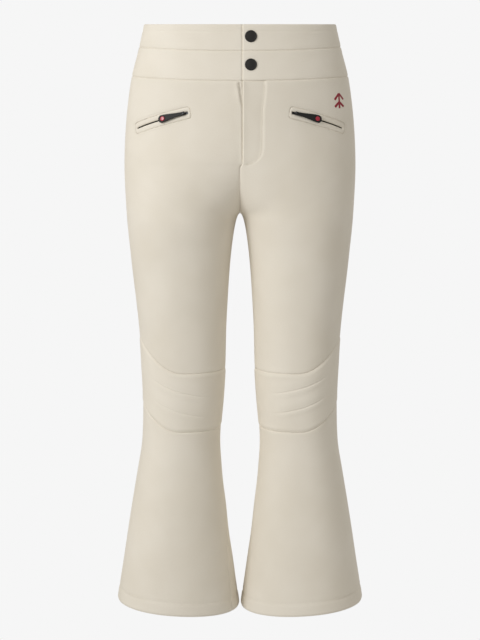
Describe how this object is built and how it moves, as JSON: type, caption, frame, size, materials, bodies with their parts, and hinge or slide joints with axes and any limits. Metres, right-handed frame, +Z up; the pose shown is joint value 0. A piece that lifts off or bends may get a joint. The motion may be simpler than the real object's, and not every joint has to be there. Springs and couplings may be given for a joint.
{
  "type": "ski pants",
  "caption": "Child's flared ski pants in cream softshell: tiered snap waistband, zip fly, slanted zip hip pockets, quilted knee panels and inner snow gaiters.",
  "frame": {"origin": "centre of the waist opening, level with the waistband's top edge", "axes": "+Z up, -Y is the wearer's front, +X is the wearer's left"},
  "size_m": [0.3276, 0.1806, 0.7699],
  "materials": {
    "softshell": "matt cream stretch softshell with a fine twill face",
    "lining": "thin matt woven lining",
    "elastic": "ribbed woven elastic",
    "foam": "soft open foam",
    "zip_tape_black": "woven zip tape with a nylon coil",
    "zip_tape_cream": "woven zip tape with a nylon coil",
    "snap_enamel": "black enamelled snap cap",
    "snap_metal": "dark plated sheet metal",
    "slider_metal": "gunmetal plated die-casting",
    "puller_black": "soft black moulded plastic",
    "red_inlay": "red moulded inlay",
    "red_thread": "dark red embroidery thread"
  },
  "bodies": {
    "seat": {"upper_waistband_front_left": "softshell", "upper_waistband_front_right": "softshell", "upper_waistband_back": "softshell", "lower_waistband_front_left": "softshell", "lower_waistband_front_right": "softshell", "lower_waistband_back": "softshell", "waistband_underlap": "softshell", "fly_facing": "softshell", "fly_shield": "softshell", "waist_elastic": "elastic", "waistband_facing": "lining", "snap_stud_upper": "snap_metal", "snap_stud_back_upper": "snap_metal", "snap_stud_lower": "snap_metal", "snap_stud_back_lower": "snap_metal", "front_panel_left": "softshell", "back_panel_left": "softshell", "knee_panel_left": "softshell", "knee_gusset_left": "softshell", "pocket_welt_left": "softshell", "pocket_bag_left": "lining", "knee_foam_left": "foam", "pocket_zip_tape_left": "zip_tape_black", "pocket_zip_coil_left": "zip_tape_black", "front_panel_right": "softshell", "back_panel_right": "softshell", "knee_panel_right": "softshell", "knee_gusset_right": "softshell", "pocket_welt_right": "softshell", "pocket_bag_right": "lining", "knee_foam_right": "foam", "pocket_zip_tape_right": "zip_tape_black", "pocket_zip_coil_right": "zip_tape_black", "fly_zip_tape_left": "zip_tape_cream", "fly_zip_tape_right": "zip_tape_cream", "fly_zip_coil": "zip_tape_cream", "emblem": "red_thread"},
    "waist_tab": {"upper_waistband_tab": "softshell", "lower_waistband_tab": "softshell", "snap_cap_upper": "snap_enamel", "snap_cap_lower": "snap_enamel", "snap_socket_upper": "snap_metal", "snap_socket_lower": "snap_metal"},
    "fly_slider": {"fly_zip_slider": "slider_metal"},
    "fly_pull": {"fly_zip_pull": "slider_metal"},
    "pocket_slider_left": {"pocket_zip_slider_left": "slider_metal"},
    "pocket_puller_left": {"pocket_zip_puller_left": "puller_black", "pocket_puller_dot_left": "red_inlay"},
    "lower_leg_left": {"shin_panel_left": "softshell", "calf_panel_left": "softshell", "hem_turn_up_left": "softshell", "snow_gaiter_left": "lining"},
    "pocket_slider_right": {"pocket_zip_slider_right": "slider_metal"},
    "pocket_puller_right": {"pocket_zip_puller_right": "puller_black", "pocket_puller_dot_right": "red_inlay"},
    "lower_leg_right": {"shin_panel_right": "softshell", "calf_panel_right": "softshell", "hem_turn_up_right": "softshell", "snow_gaiter_right": "lining"}
  },
  "joints": [
    {"name": "waist_tab_hinge", "type": "hinge", "parent": "seat", "child": "waist_tab", "pos_m": [0.0312, -0.06925, -0.035], "axis": [0, 0.139, 0.9903], "range_deg": [0, 120]},
    {"name": "pocket_zip_left_run", "type": "hinge", "parent": "seat", "child": "pocket_slider_left", "pos_m": [0.03399, 0.06249, -0.14649], "axis": [0.1631, 0.2938, 0.9418], "range_deg": [0, 25.6], "deforming": ["pocket_zip_coil_left"]},
    {"name": "pocket_puller_left_hinge", "type": "hinge", "parent": "pocket_slider_left", "child": "pocket_puller_left", "pos_m": [0.07102, -0.07298, -0.11064], "axis": [-0.1631, -0.2938, -0.9418], "range_deg": [0, 150]},
    {"name": "pocket_zip_right_run", "type": "hinge", "parent": "seat", "child": "pocket_slider_right", "pos_m": [-0.03399, 0.06249, -0.14649], "axis": [0.1631, -0.2938, -0.9418], "range_deg": [0, 25.6], "deforming": ["pocket_zip_coil_right"]},
    {"name": "pocket_puller_right_hinge", "type": "hinge", "parent": "pocket_slider_right", "child": "pocket_puller_right", "pos_m": [-0.07102, -0.07298, -0.11064], "axis": [-0.1631, 0.2938, 0.9418], "range_deg": [0, 150]},
    {"name": "fly_zip_run", "type": "slide", "parent": "seat", "child": "fly_slider", "axis": [0, -0.0211, -0.9998], "range_m": [0, 0.085], "deforming": ["fly_zip_coil"]},
    {"name": "fly_pull_hinge", "type": "hinge", "parent": "fly_slider", "child": "fly_pull", "pos_m": [0.014, -0.07022, -0.07893], "axis": [-1, 0, 0], "range_deg": [0, 8]},
    {"name": "knee_left_bend", "type": "hinge", "parent": "seat", "child": "lower_leg_left", "pos_m": [0.0745, -0.012, -0.47], "axis": [1, 0, 0], "range_deg": [0, 80], "deforming": ["knee_panel_left", "knee_gusset_left", "knee_foam_left"]},
    {"name": "knee_right_bend", "type": "hinge", "parent": "seat", "child": "lower_leg_right", "pos_m": [-0.0745, -0.012, -0.47], "axis": [1, 0, 0], "range_deg": [0, 80], "deforming": ["knee_panel_right", "knee_gusset_right", "knee_foam_right"]}
  ]
}
